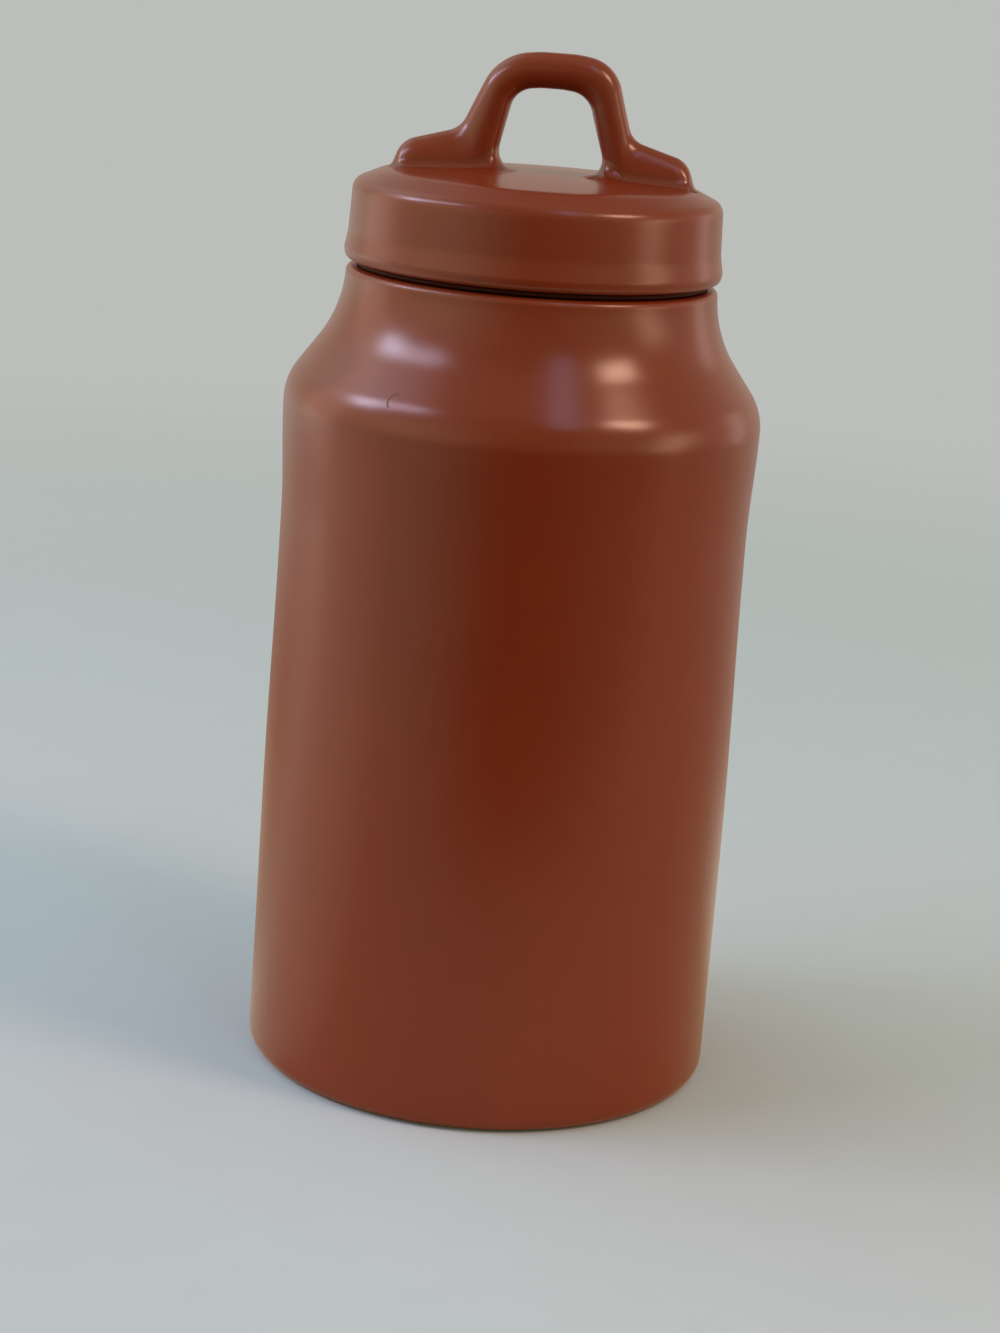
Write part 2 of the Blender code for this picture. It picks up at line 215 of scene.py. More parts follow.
def arc(before, corner, after, radius, steps=ARC_STEPS):
    """Rounds a corner with the circle that touches both of its sides.

    The rays from the circle's middle to the two touching points are mixed by the sines of the turn that is
    left and the turn that is done.
    """
    back, ahead = unit(before - corner), unit(after - corner)
    opening = math.acos(float(np.clip(back @ ahead, -1.0, 1.0)))
    turn = math.pi - opening
    middle = corner + unit(back + ahead) * radius / math.sin(opening / 2)
    start = corner + back * radius / math.tan(opening / 2) - middle
    end = corner + ahead * radius / math.tan(opening / 2) - middle
    done = np.linspace(0.0, turn, steps + 1)[:, None]
    return middle + (start * np.sin(turn - done) + end * np.sin(done)) / math.sin(turn)


def rounded(points, radii):
    """The line through the points, with an arc at each inner corner whose radius isn't 0."""
    corners = np.array(points, float)
    pieces = [corners[:1]]
    for before, corner, after, radius in zip(corners, corners[1:], corners[2:], radii):
        pieces.append(arc(before, corner, after, radius) if radius else corner[None])
    return np.concatenate(pieces + [corners[-1:]])


def spaced(line, longest):
    """The line with each long run cut into equal shares, by straight interpolation between its ends."""
    runs = np.linalg.norm(np.diff(line, axis=0), axis=1)
    cuts = np.maximum(1, np.ceil(runs / longest)).astype(int)
    done = np.arange(cuts.sum()) - np.repeat(np.cumsum(cuts) - cuts, cuts)
    place = np.append(np.repeat(np.arange(len(cuts)), cuts) + done / np.repeat(cuts, cuts), len(cuts))
    return np.stack([np.interp(place, np.arange(len(line)), line[:, axis]) for axis in (0, 1)], 1)


def shoulder_line(neck, neck_height, neck_curve, wide, wide_curve):
    """Shoulder up to the neck: a full arc and a hollow arc joined by the straight line that touches both."""
    across = neck_curve + wide_curve - (wide - neck)
    up = neck_height - shoulder_height
    lean = math.atan2(up, across) - math.acos((neck_curve + wide_curve) / math.hypot(across, up))
    angle = np.linspace(0.0, lean, SHOULDER_STEPS)
    full = np.stack([
        wide - wide_curve + wide_curve * np.cos(angle), shoulder_height + wide_curve * np.sin(angle),
    ], 1)
    hollow = np.stack([
        neck + neck_curve * (1 - np.cos(angle)), neck_height - neck_curve * np.sin(angle),
    ], 1)[::-1]
    return np.concatenate([full, hollow])


def side_line(inset):
    """The side up to the shoulder: two half waves of a cosine that meet at the waist."""
    share = np.linspace(0.0, 1.0, SIDE_STEPS)
    swell = (1 - np.cos(math.pi * share)) / 2
    narrowing = foot_radius - WAIST_RADIUS
    lower = np.stack([
        foot_radius - narrowing * swell,
        STRAIGHT_TO + (waist_height - STRAIGHT_TO) * share,
    ], 1)
    upper = np.stack([
        WAIST_RADIUS + narrowing * swell,
        waist_height + (shoulder_height - waist_height) * share,
    ], 1)
    return np.concatenate([lower, upper[1:-1]]) - (inset, 0.0)


def jar_line():
    """Half section of the jar, from under the foot up the side, over the rim and down to the inner floor."""
    ring_inner = foot_radius - BASE_CORNER - FOOT_RING_WIDTH
    inner_foot = foot_radius - WALL
    floor_top = FOOT_RECESS + BOTTOM
    neck = shoulder_line(NECK_RADIUS, rim_height, NECK_CURVE, foot_radius, SHOULDER_CURVE)
    inner_neck = shoulder_line(
        mouth_radius, rim_height - MOUTH_LAND, INNER_NECK_CURVE, inner_foot, SHOULDER_CURVE - WALL,
    )[::-1]
    foot = rounded(
        [(AXIS_GAP, FOOT_RECESS), (ring_inner - RECESS_SLOPE, FOOT_RECESS), (ring_inner, 0.0),
         (foot_radius, 0.0), (foot_radius, STRAIGHT_TO)],
        [FOOT_EDGE_ROUND, FOOT_EDGE_ROUND, BASE_CORNER],
    )
    rim = rounded(
        [neck[-RIM_TAKES], (NECK_RADIUS, rim_height), (mouth_radius, rim_height), inner_neck[0]],
        [RIM_ROUND, LIP_ROUND],
    )
    well = rounded(
        [(inner_foot, STRAIGHT_TO), (inner_foot, floor_top), (AXIS_GAP, floor_top)],
        [INNER_CORNER],
    )
    outside = np.concatenate([foot[:-1], side_line(0.0), neck[:-RIM_TAKES], rim])
    inside = np.concatenate([inner_neck, side_line(WALL)[::-1], well[1:]])
    return np.concatenate([spaced(outside, OUTER_RUN), spaced(inside, INNER_RUN)])


def cap_top_line():
    """Outer line of the lid, from its lower edge over wall and border to the middle of the raised top.

    The raised top is a shallow crown, whose fall from its middle grows with the square of the radius.
    """
    radius = np.linspace(plateau_radius * LID_CROWN_SHARE, AXIS_GAP, CROWN_STEPS)
    crown = np.stack([radius, lid_top + LID_CROWN * (1 - (radius / plateau_radius) ** 2)], 1)
    side = rounded(
        [(plug_radius, lid_seat), (cap_high.x - LID_LOWER_STEP, lid_seat),
         (cap_high.x, lid_seat + LID_FLARE_HEIGHT), (lid_wall_radius, lid_seat + LID_WALL_HEIGHT),
         (lid_top_radius, lid_top - BORDER_DROP), (plateau_radius, lid_top), crown[0]],
        [LID_LOWER_ROUND, LID_FLARE_ROUND, LID_WALL_ROUND, LID_UPPER_ROUND, PLATEAU_ROUND],
    )
    return np.concatenate([side, crown[1:]])


def cap_line():
    """Half section of the lid, from its hollow's roof, down and round the plug, then up over the outside."""
    roof = lid_top - LID_WALL
    bore = plug_radius - PLUG_WALL
    hollow_radius = lid_top_radius - LID_WALL
    hollow_base = lid_seat + LID_WALL
    bead_top = cap_low.z + BEAD_HEIGHT
    hollow = rounded(
        [(AXIS_GAP, roof), (plateau_radius - PLATEAU_ROUND, roof), (hollow_radius, roof - BORDER_DROP),
         (hollow_radius, hollow_base), (bore, hollow_base - CAVITY_SLOPE), (bore, cap_low.z),
         (sleeve_radius, cap_low.z), (sleeve_radius, bead_top), (plug_radius, bead_top),
         (plug_radius, lid_seat), (cap_high.x - LID_LOWER_STEP, lid_seat)],
        [CAVITY_ROUND, CAVITY_LOWER_ROUND, CAVITY_LOWER_ROUND, CAVITY_LOWER_ROUND, BEAD_ROUND, BEAD_ROUND,
         BEAD_ROUND / 2, BEAD_ROUND / 4, PLUG_ROOT_ROUND],
    )
    return np.concatenate([spaced(hollow[:-1], INNER_RUN), spaced(cap_top_line()[1:], OUTER_RUN)])


def seal_line():
    """Section of the sealing ring, a loop: down inside the sleeve, up over its fins, out round the flange.

    The fins stand a pitch apart, the top one a pitch below the flange and the lowest half a pitch above the
    sleeve's end.
    """
    inner = plug_radius + SEAT_GAP
    flange_low = seal_high.z - SEAL_THICK
    pitch = (flange_low - seal_low.z) / (FIN_COUNT + 1 / 2)
    points = [(inner, seal_high.z), (inner, seal_low.z), (sleeve_radius, seal_low.z)]
    radii = [SEAL_EDGE_ROUND, SEAL_EDGE_ROUND]
    for index in reversed(range(FIN_COUNT)):
        middle = flange_low - pitch * (index + 1)
        points += [
            (sleeve_radius, middle - FIN_THICK / 2), (sleeve_radius + FIN_REACH, middle),
            (sleeve_radius, middle + FIN_THICK / 2),
        ]
        radii += [FIN_ROOT_ROUND, FIN_TIP_ROUND, FIN_ROOT_ROUND]
    points += [
        (sleeve_radius, flange_low), (seal_high.x, flange_low),
        (seal_high.x, seal_high.z), (inner, seal_high.z),
    ]
    radii += [FIN_ROOT_ROUND, SEAL_EDGE_ROUND, SEAL_EDGE_ROUND]
    return spaced(rounded(points, radii)[:-1], OUTER_RUN)


def cast_swell(angle, height):
    """Out-of-roundness of a slip cast, as waves that fade out below the rim.

    Each wave is its depth times the cosine of its start, plus its count times the angle, plus its turn a
    metre times the height.
    """
    waves = sum(
        depth * np.cos(count * angle + climb * height + start)
        for count, climb, start, depth in CAST_WAVES
    )
    return waves * ease((rim_height - height) / WAVE_FADE)


def turned(line, sides, swell=None):
    """Turned skin: every point (radius, height) goes round Z, to (radius cos a, radius sin a, height).

    The radius grows by swell(a, height) times its share of the line's widest radius, so that the axis
    stays put.
    """
    angle = np.arange(sides) * math.tau / sides
    radius = np.broadcast_to(line[:, :1], (len(line), sides))
    height = np.broadcast_to(line[:, 1:], (len(line), sides))
    if swell:
        radius = radius + swell(angle, height) * radius / line[:, 0].max()
    return np.stack([radius * np.cos(angle), radius * np.sin(angle), height], -1)


def stepped(points, radii, arc_steps, run_steps):
    """A line with a set count of points: equal shares of each straight run, and an arc at each corner.

    The run ends where the arc begins, and the coarse steps of both are cut into the same count of fine ones.
    """
    corners = np.array(points, float)
    line = corners[:1]
    for index, coarse in enumerate(run_steps):
        turn = corners[index + 1][None]
        if index < len(arc_steps) and arc_steps[index]:
            turn = arc(*corners[index:index + 3], radii[index], arc_steps[index] * STRAP_FINE)
        share = np.linspace(0.0, 1.0, coarse * STRAP_FINE + 1)[1:, None]
        line = np.concatenate([line, line[-1] + (turn[0] - line[-1]) * share, turn[1:]])
    return line


def strap_edges():
    """Outer and inner edge of the handle's +X half, as x and height above the lid, in step."""
    height = loop_high.z - lid_top
    opening_top = height - ARCH_THICK
    foot_half_width = plateau_radius - TOE_SETBACK
    toe_half_width = foot_half_width - TOE_LEAN
    leg_lean = (OPENING_FOOT_HALF_WIDTH - OPENING_HALF_WIDTH) / (opening_top - OPENING_DROP)
    outer = stepped(
        [(0.0, height), (CROWN_HALF_WIDTH, height), (ARCH_HALF_WIDTH, height - ARCH_DROP),
         (KINK_HALF_WIDTH, KINK_HEIGHT), (toe_half_width, TOE_HEIGHT),
         (foot_half_width + TOE_LEAN * SUNK / TOE_HEIGHT, -SUNK)],
        [CROWN_ROUND, ARCH_ROUND, KINK_ROUND, TOE_ROUND],
        HAND_ARCS,
        HAND_RUNS,
    )
    inner = stepped(
        [(0.0, opening_top), (OPENING_CROWN_HALF_WIDTH, opening_top),
         (OPENING_HALF_WIDTH, opening_top - OPENING_DROP),
         (OPENING_FOOT_HALF_WIDTH + leg_lean * SUNK, -SUNK), (KINK_HALF_WIDTH - KINK_ROUND / 2, -SUNK),
         (toe_half_width - TOE_ROUND, -SUNK), (toe_half_width, -SUNK)],
        [OPENING_CROWN_ROUND, OPENING_ROUND, 0, 0, 0],
        OPENING_ARCS,
        OPENING_RUNS,
    )
    return outer, inner


def strap():
    """The bare handle: squarish ovals across the strap, from its outer to its inner edge.

    A point of an oval is its middle, plus the signed power of the cosine along the way to the outer edge,
    plus the signed power of the sine across the handle. The angles crowd together at the front and back.
    """
    outer, inner = strap_edges()
    both = []
    for edge, bend in ((outer, HAND_BEND), (inner, OPENING_BEND)):
        line = np.concatenate([edge[::-1], edge[1:] * (-1.0, 1.0)])
        stray = np.polyval(bend, np.clip(line[:, 1] / outer[0, 1], 0.0, 1.0))
        both.append(line + np.stack([stray, np.zeros(len(line))], 1))
    middle, reach = (both[0] + both[1]) / 2, (both[0] - both[1]) / 2
    even = np.arange(STRAP_SIDES) * math.tau / STRAP_SIDES
    angle = even + SECTION_CROWD * np.sin(2 * even)
    along = np.sign(np.cos(angle)) * np.abs(np.cos(angle)) ** (2 / SECTION_POWER)
    across = np.sign(np.sin(angle)) * np.abs(np.sin(angle)) ** (2 / SECTION_POWER)
    x = middle[:, :1] + reach[:, :1] * along
    y = np.broadcast_to(loop_high.y * across, x.shape)
    z = lid_top + middle[:, 1:] + reach[:, 1:] * along
    return np.stack([x, y, z], -1)


def grid_normals(rings, loop=False):
    """Outward unit normals of a skin: the step round the ring crossed with the step from ring to ring."""
    around = np.roll(rings, -1, 1) - np.roll(rings, 1, 1)
    onward = np.roll(rings, -1, 0) - np.roll(rings, 1, 0) if loop else np.gradient(rings, axis=0)
    crossed = np.cross(around, onward)
    return crossed / np.maximum(np.linalg.norm(crossed, axis=-1, keepdims=True), LEAST_AREA)


def onto_lid(rings):
    """Lets the handle flow onto the lid with a fillet of slip.

    A point that stands h above the lid, under the fillet's radius R, moves out level by R less the root of
    R squared minus (R - h) squared, and keeps its h over the lid at its new place. R grows smoothly as the
    normal turns into the opening, and shrinks as it turns out over the toe. Deeper points run on outwards
    under the lid's surface and sink with the square of their share of the depth.
    """
    outwards = cap_top_line()[::-1]
    top = outwards[:outwards[:, 0].argmax() + 1]
    ground = np.interp(np.hypot(rings[..., 0], rings[..., 1]), top[:, 0], top[:, 1])
    rise = rings[..., 2] - ground
    level = grid_normals(rings)[..., :2]
    level = level / np.maximum(np.linalg.norm(level, axis=-1, keepdims=True), LEAST_SIDEWAYS)
    outward = level[..., 0] * np.sign(rings[..., 0])
    fillet = SLIP_ROUND + SLIP_INNER * ease(-SLIP_TURN * outward) - SLIP_TOE * ease(SLIP_TURN * outward)
    room = np.clip(fillet - rise, 0.0, fillet)
    under = np.clip(-rise / SLIP_DEPTH, 0.0, 1.0)
    push = fillet - np.sqrt(fillet ** 2 - room ** 2) + under * SLIP_DEPTH * SLIP_SPREAD
    flat = rings[..., :2] + level * push[..., None]
    new_ground = np.interp(np.hypot(flat[..., 0], flat[..., 1]), top[:, 0], top[:, 1])
    stand = np.maximum(rise, 0.0) - SLIP_DEPTH * SLIP_SINK * under ** 2
    return np.concatenate([flat, (new_ground + stand)[..., None]], -1)


def bending(rings, loop=False):
    """How sharply the skin bends at each point, per metre, positive on outer edges.

    Along the rings and across them, it is the turn of the step divided by the step's mean length, read along
    the inward normal.
    """
    inward = -grid_normals(rings, loop)
    total = np.zeros(rings.shape[:2])
    for axis in (0, 1):
        ahead = np.roll(rings, -1, axis) - rings
        behind = rings - np.roll(rings, 1, axis)
        long_ahead = np.maximum(np.linalg.norm(ahead, axis=-1, keepdims=True), LEAST_LENGTH)
        long_behind = np.maximum(np.linalg.norm(behind, axis=-1, keepdims=True), LEAST_LENGTH)
        turn = 2 * (ahead / long_ahead - behind / long_behind) / (long_ahead + long_behind)
        if axis == 0 and not loop:
            turn[0] = turn[-1] = 0.0
        total += (turn * inward).sum(-1)
    return total


def make_piece(name, rings, body, node, finish, loop=False):
    """A closed skin of quads between neighbouring rings, which rides on a body and stands for a solid.

    The quads run round each ring in the sense that faces outwards. A loop's last ring meets its first, and
    otherwise each end ring closes in a fan round its middle.
    """
    count, sides = rings.shape[:2]
    index = np.arange(count * sides).reshape(count, sides)
    near, far = (index, np.roll(index, -1, 0)) if loop else (index[:-1], index[1:])
    quads = np.stack([near, np.roll(near, -1, 1), np.roll(far, -1, 1), far], -1).reshape(-1, 4)
    points = rings.reshape(-1, 3)
    bend = bending(rings, loop).ravel()
    faces = quads.tolist()
    if not loop:
        points = np.concatenate([points, rings[[0, -1]].mean(1)])
        bend = np.append(bend, [0.0, 0.0])
        middle = np.full(sides, count * sides)
        faces += np.stack([middle, np.roll(index[0], -1), index[0]], -1).tolist()
        faces += np.stack([middle + 1, index[-1], np.roll(index[-1], -1)], -1).tolist()
    mesh = bpy.data.meshes.new(name)
    mesh.from_pydata(points.tolist(), [], faces)
    mesh.attributes.new("bend", "FLOAT", "POINT").data.foreach_set("value", bend.astype(np.float32))
    mesh.shade_smooth()
    mesh.materials.append(finish)
    piece = bpy.data.objects.new(name, mesh)
    bpy.context.scene.collection.objects.link(piece)
    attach(piece, body)
    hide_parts(node)


class Wire:
    """A socket in a recipe. Arithmetic on wires and numbers adds the recipe's Math nodes."""

    def __init__(self, recipe, socket):
        self.recipe = recipe
        self.socket = socket

    def __add__(self, other):
        return self.recipe.maths("ADD", self, other)

    def __sub__(self, other):
        return self.recipe.maths("SUBTRACT", self, other)

    def __rsub__(self, other):
        return self.recipe.maths("SUBTRACT", other, self)

    def __mul__(self, other):
        return self.recipe.maths("MULTIPLY", self, other)

    def __truediv__(self, other):
        return self.recipe.maths("DIVIDE", self, other)

    def __rtruediv__(self, other):
        return self.recipe.maths("DIVIDE", other, self)

    __radd__ = __add__
    __rmul__ = __mul__


class Recipe:
    """The nodes of one material, or of the world."""

    def __init__(self, owner):
        owner.use_nodes = True
        self.owner = owner
        self.tree = owner.node_tree
        self.tree.nodes.clear()

    def add(self, kind, settings=None, sockets=None, output=0):
        """Adds a node of that type: its settings first, then the values or wires of its sockets."""
        node = self.tree.nodes.new(kind)
        for name, value in (settings or {}).items():
            if name == "stops":
                self.set_stops(node.color_ramp, value)
            else:
                setattr(node, name, value)
        for name, value in (sockets or {}).items():
            if isinstance(value, Wire):
                self.tree.links.new(value.socket, node.inputs[name])
            else:
                node.inputs[name].default_value = value
        return Wire(self, node.outputs[output]) if len(node.outputs) else node

    def set_stops(self, ramp, colours):
        """Spreads the colours evenly along a ramp, with soft steps between them."""
        ramp.interpolation = "EASE"
        while len(ramp.elements) < len(colours):
            ramp.elements.new(0.5)
        for index, colour in enumerate(colours):
            ramp.elements[index].position = index / (len(colours) - 1)
            ramp.elements[index].color = (*colour, 1.0)

    def maths(self, operation, first, second=0.0):
        """One Math node."""
        return self.add("ShaderNodeMath", {"operation": operation}, {0: first, 1: second})

    def place(self):
        """The point on the object, in metres."""
        return self.add("ShaderNodeTexCoord", output="Object")

    def noise(self, place, size, detail=2.0, roughness=0.5):
        """Cloudy noise from 0 to 1 whose lumps are about that size."""
        sockets = {"Vector": place, "Scale": 1.0 / size, "Detail": detail, "Roughness": roughness}
        return self.add("ShaderNodeTexNoise", sockets=sockets)

    def between(self, value, low, high):
        """0 below low, 1 above high, and a smooth rise in between."""
        sockets = {"Value": value, "From Min": low, "From Max": high}
        return self.add("ShaderNodeMapRange", {"interpolation_type": "SMOOTHSTEP"}, sockets)

    def mix(self, share, first, second):
        """A colour between two colours."""
        first, second = (
            colour if isinstance(colour, Wire) else (*colour, 1.0)
            for colour in (first, second)
        )
        return self.add("ShaderNodeMix", {"data_type": "RGBA"}, {0: share, 6: first, 7: second}, output=2)

    def vectors(self, operation, first, second, output="Vector"):
        """One Vector Math node, for directions and for colours."""
        return self.add("ShaderNodeVectorMath", {"operation": operation}, {0: first, 1: second}, output)

    def along(self, place, direction):
        """How far a place lies along a direction."""
        return self.vectors("DOT_PRODUCT", place, direction, output="Value")

    def distance(self, place, middle):
        """How far a place lies from a middle."""
        return self.vectors("DISTANCE", place, middle, output="Value")

    def flecks(self, place, spacing, size, share):
        """Specks in a share of the cells of a Voronoi pattern.

        A speck is 1 up to half its size from the cell's point, and fades to 0 at its whole size.
        """
        cells = {"Vector": place, "Scale": 1.0 / spacing}
        near = self.add("ShaderNodeTexVoronoi", sockets=cells, output="Distance")
        colour = self.add("ShaderNodeTexVoronoi", sockets=cells, output="Color")
        chance = self.add("ShaderNodeSeparateColor", sockets={0: colour})
        chosen = self.maths("LESS_THAN", chance, share)
        return (1.0 - self.between(near, size / spacing / 2, size / spacing)) * chosen

    def bump(self, height):
        """A normal from a height in metres."""
        return self.add("ShaderNodeBump", sockets={"Strength": 1.0, "Distance": 1.0, "Height": height})

    def surface(self, shader):
        """Links the shader to the output and returns the material."""
        self.add("ShaderNodeOutputMaterial", sockets={"Surface": shader})
        return self.owner


def shade(colour, factor):
    """A colour made lighter or darker by one factor."""
    return tuple(channel * factor for channel in colour)


# Glaze, with factors of its colour and shares from 0 to 1
GLAZE = (0.195, 0.0235, 0.0050)
THIN_GLAZE = (0.29, 0.055, 0.022)
CLOUD_SIZE = 0.045
CLOUD_SHARE = 0.6                # of the clouds in how deep the glaze looks, and the rest is mottle
MOTTLE_SIZE = 0.006
RIPPLE_SIZE = 0.0032
GRAIN_SIZE = 0.0005
DEEP_SHADE = 0.90
LIGHT_SHADE = 1.10
HOLLOW_BENDS = (-320.0, -30.0)   # pooled glaze and painted shade below the first of these bends, and neither above the second
# Hollows darken partly as pooled glaze and partly as painted shade
POOL_AND_PAINTED_SHADE = 0.55
POOL_AND_PAINTED_SHADE_SHARE = 0.45
EDGE_BENDS = (120.0, 700.0)      # whole below the first of these bends, and thinnest above the second
THIN_SHARE = 0.08                # how much of the thin glaze's colour an edge takes,
THIN_PATCHES = 0.14              # and how much more where the mottle is light
SPECK_SHADE = 0.45
SPECK_STRENGTH = 0.4
GLAZE_ROUGHNESS = 0.215          # before the next three add to it, and pools take away
CLOUD_ROUGHNESS = 0.04
GRAIN_ROUGHNESS = 0.03
EDGE_ROUGHNESS = 0.04
POOL_SMOOTHNESS = 0.03
RIPPLE_HEIGHT = 0.000009
MOTTLE_HEIGHT = 0.000006
GRAIN_HEIGHT = 0.0000012

# A hairline in the glaze of the left shoulder, hooked round this point and open on one side
HAIRLINE_MIDDLE = (-0.0269, -0.0507, 0.1784)
HAIRLINE_RADIUS = 0.0021
HAIRLINE_OPEN = (0.75, -0.25, -0.61)
HAIRLINE_ENDS = (-0.0006, 0.0002)     # it ends between these distances towards the open side
HAIRLINE_WAVER = 0.0012
HAIRLINE_FADE = (0.00008, 0.00028)    # and fades between these distances from its middle
HAIRLINE_SHADE = 0.25
HAIRLINE_STRENGTH = 0.6
HAIRLINE_ROUGHNESS = 0.25
HAIRLINE_DEPTH = 0.00005

# Bare clay on the foot ring
BARE_CLAY = (0.36, 0.19, 0.115)
GLAZE_EDGE = (0.0005, 0.0008)    # the glaze begins between these heights
GLAZE_EDGE_WAVER = 0.0005
SAND_SIZE = 0.0008
SAND_SHADES = (0.75, 1.20)
SAND_HEIGHT = 0.00006
GRIT_SHADE = 0.30
GRIT_STRENGTH = 0.6
CLAY_ROUGHNESS = 0.85

# Silicone
SILICONE = (0.055, 0.011, 0.007)
SILICONE_SHADES = (0.80, 1.35)
SILICONE_ROUGHNESS = 0.50
SILICONE_SHINE = 0.08            # 0.5 is that of most solids
BLOOM_SIZE = 0.012
BLOOM_ROUGHNESS = 0.16           # how much rougher the bloom makes it
MOULD_GRAIN_SIZE = 0.0006
MOULD_GRAIN_HEIGHT = 0.000008
LINT = (0.30, 0.27, 0.25)
LINT_STRENGTH = 0.5


def hairline(recipe, place, mottle):
    """1 on the hairline: near an arc whose radius wavers with the mottle, and away from its open side."""
    from_middle = recipe.vectors("SUBTRACT", place, HAIRLINE_MIDDLE)
    reach = recipe.distance(place, HAIRLINE_MIDDLE)
    stray = recipe.maths("ABSOLUTE", reach + (mottle - 0.5) * HAIRLINE_WAVER - HAIRLINE_RADIUS)
    past_end = recipe.between(recipe.along(from_middle, HAIRLINE_OPEN), *HAIRLINE_ENDS)
    return (1.0 - recipe.between(stray, *HAIRLINE_FADE)) * (1.0 - past_end)


def bare_clay(recipe, place):
    """Unglazed stoneware: sandy, with dark grit."""
    sand = recipe.noise(place, SAND_SIZE, detail=4.0, roughness=0.7)
    grit = recipe.flecks(place, spacing=0.0016, size=0.00025, share=0.5)
    colour = recipe.mix(sand, *(shade(BARE_CLAY, factor) for factor in SAND_SHADES))
    colour = recipe.mix(grit * GRIT_STRENGTH, colour, shade(BARE_CLAY, GRIT_SHADE))
    return recipe.add("ShaderNodeBsdfPrincipled", sockets={
        "Base Color": colour, "Roughness": CLAY_ROUGHNESS, "Normal": recipe.bump(sand * SAND_HEIGHT),
    })


def glaze(name, jar=False):
    """Satin terracotta glaze: thin on outer edges, darker in hollows as pooled glaze and painted shade, with
    faint specks and orange peel.

    Its depth is a share of clouds and the rest of mottle. The jar's also has the hairline on its shoulder,
    and bare clay under its foot.
    """
    recipe = Recipe(bpy.data.materials.new(name))
    place = recipe.place()
    bend = recipe.add("ShaderNodeAttribute", {"attribute_name": "bend"}, output="Fac")
    clouds = recipe.noise(place, CLOUD_SIZE, detail=3.0, roughness=0.55)
    mottle = recipe.noise(place, MOTTLE_SIZE, detail=3.0, roughness=0.6)
    ripple = recipe.noise(place, RIPPLE_SIZE, detail=1.0)
    grain = recipe.noise(place, GRAIN_SIZE)
    specks = recipe.flecks(place, spacing=0.0034, size=0.00022, share=0.3)
    thin = recipe.between(bend, *EDGE_BENDS)
    pooled_and_shaded = 1.0 - recipe.between(bend, *HOLLOW_BENDS)
    depth = clouds * CLOUD_SHARE + mottle * (1.0 - CLOUD_SHARE)
    base = recipe.mix(depth, shade(GLAZE, DEEP_SHADE), shade(GLAZE, LIGHT_SHADE))
    # painted shade in the hollows, together with pooled glaze
    base = recipe.mix(pooled_and_shaded * POOL_AND_PAINTED_SHADE_SHARE, base, shade(GLAZE, POOL_AND_PAINTED_SHADE))
    base = recipe.mix(thin * (THIN_SHARE + mottle * THIN_PATCHES), base, THIN_GLAZE)
    base = recipe.mix(specks * SPECK_STRENGTH, base, shade(GLAZE, SPECK_SHADE))
    rough = GLAZE_ROUGHNESS + clouds * CLOUD_ROUGHNESS + grain * GRAIN_ROUGHNESS
    rough = rough + thin * EDGE_ROUGHNESS - pooled_and_shaded * POOL_SMOOTHNESS
    height = ripple * RIPPLE_HEIGHT + mottle * MOTTLE_HEIGHT + grain * GRAIN_HEIGHT
    if jar:
        line = hairline(recipe, place, mottle)
        base = recipe.mix(line * HAIRLINE_STRENGTH, base, shade(GLAZE, HAIRLINE_SHADE))
        rough = rough + line * HAIRLINE_ROUGHNESS
        height = height - line * HAIRLINE_DEPTH
    shader = recipe.add("ShaderNodeBsdfPrincipled", sockets={
        "Base Color": base, "Roughness": rough, "Normal": recipe.bump(height),
    })
    if jar:
        up = recipe.add("ShaderNodeSeparateXYZ", sockets={0: place}, output="Z")
        bare = 1.0 - recipe.between(up + mottle * GLAZE_EDGE_WAVER, *GLAZE_EDGE)
        sockets = {0: bare, 1: shader, 2: bare_clay(recipe, place)}
        shader = recipe.add("ShaderNodeMixShader", sockets=sockets)
    return recipe.surface(shader)


def silicone(name):
    """Matte dark brown silicone, with a soft bloom, moulded grain and a little lint."""
    recipe = Recipe(bpy.data.materials.new(name))
    place = recipe.place()
    bloom = recipe.noise(place, BLOOM_SIZE, detail=3.0)
    grain = recipe.noise(place, MOULD_GRAIN_SIZE)
    lint = recipe.flecks(place, spacing=0.0040, size=0.0002, share=0.25)
    base = recipe.mix(bloom, *(shade(SILICONE, factor) for factor in SILICONE_SHADES))
    base = recipe.mix(lint * LINT_STRENGTH, base, LINT)
    shader = recipe.add("ShaderNodeBsdfPrincipled", sockets={
        "Base Color": base, "Roughness": SILICONE_ROUGHNESS + bloom * BLOOM_ROUGHNESS,
        "Specular IOR Level": SILICONE_SHINE, "Normal": recipe.bump(grain * MOULD_GRAIN_HEIGHT),
    })
    return recipe.surface(shader)


# Surroundings, with azimuths in degrees from the camera's side of the jar towards +X
ORIGIN = (0.0, 0.0, 0.0)
FLOOR_FULL = 0.28                # radius up to which the floor shows fully
FLOOR_RADIUS = 1.10
FLOOR_MARGIN = 0.01              # this far inside its edge it has faded out
FLOOR_FRONT = (0.19, 0.36)       # it also fades between these distances towards the camera
FLOOR_DROP = 0.0002
FLOOR_RINGS = 24
FLOOR_SIDES = 96
FLOOR_GROWTH = 1.5               # the rings' radii grow with this power of their count
FLOOR_MOTTLE_SIZE = 0.02
FLOOR_SHADES = (0.98, 1.02)
FLOOR_ROUGHNESS = 0.95
FLOOR_SHINE = 0.10               # 0.5 is that of most solids
PALE = (0.50, 0.515, 0.49)       # background, as the camera sees it

# The floor's colour as the camera sees it, and as its light reaches the jar from close by, from behind and
# from the camera's side, with the distances between which one turns into the next
FLOOR_SEEN = (0.545, 0.60, 0.70)
FLOOR_NEAR = (0.70, 0.63, 0.51)
FLOOR_BEHIND = (0.44, 0.33, 0.27)
FLOOR_AHEAD = (0.60, 0.54, 0.41)
FLOOR_NEAR_SPAN = (0.08, 0.40)
FLOOR_AHEAD_SPAN = (-0.30, 0.00)

